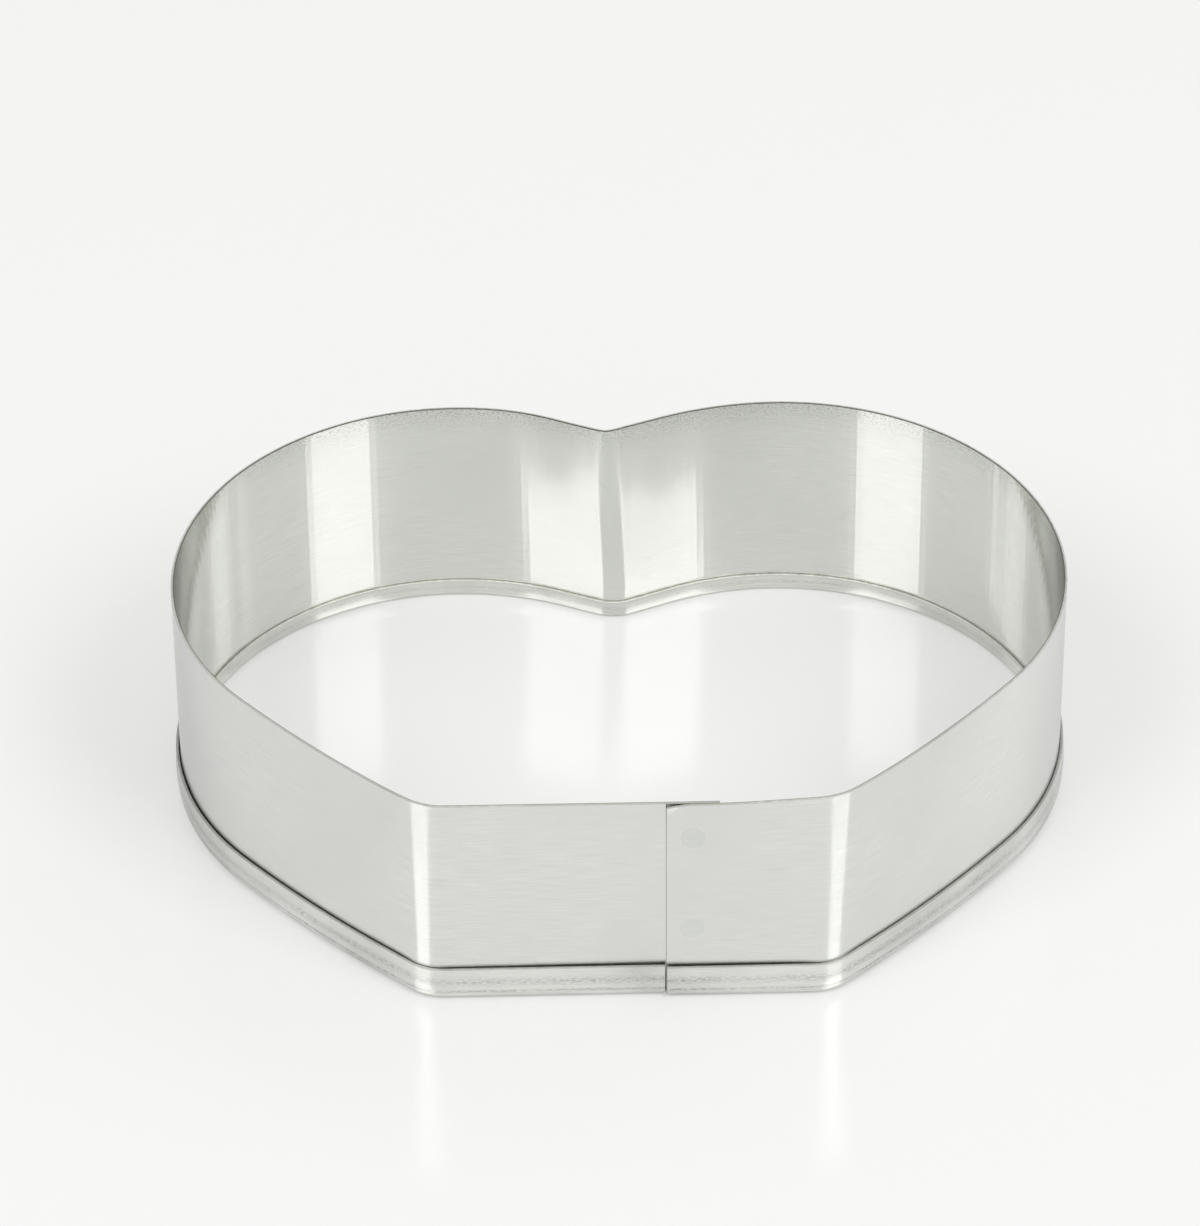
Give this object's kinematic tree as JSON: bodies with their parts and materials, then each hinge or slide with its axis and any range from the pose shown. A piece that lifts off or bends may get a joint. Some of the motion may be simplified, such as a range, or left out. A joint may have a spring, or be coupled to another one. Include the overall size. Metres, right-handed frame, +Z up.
{
  "type": "cookie cutter",
  "caption": "Open cookie cutter in a blunt heart outline: a thin steel strip with its cutting edge up, closed by a spot-welded lap in the flat front, and an edging round its lower edge.",
  "frame": {"origin": "on the floor, in the middle of the rim's bounding box", "axes": "+Z up towards the cutting edge, +X to the right of the flat front, +Y towards the cusp"},
  "size_m": [0.0932, 0.0672, 0.025],
  "materials": {
    "bright_steel": "bright, with fine grain along the strip",
    "rolled_steel": "bright, with streaks from the forming rolls",
    "weld_steel": "bright, pressed flush by the electrodes"
  },
  "bodies": {
    "root": {"cutting_band": "bright_steel", "rim_edging": "rolled_steel", "upper_spot_weld": "weld_steel", "lower_spot_weld": "weld_steel"}
  },
  "joints": []
}
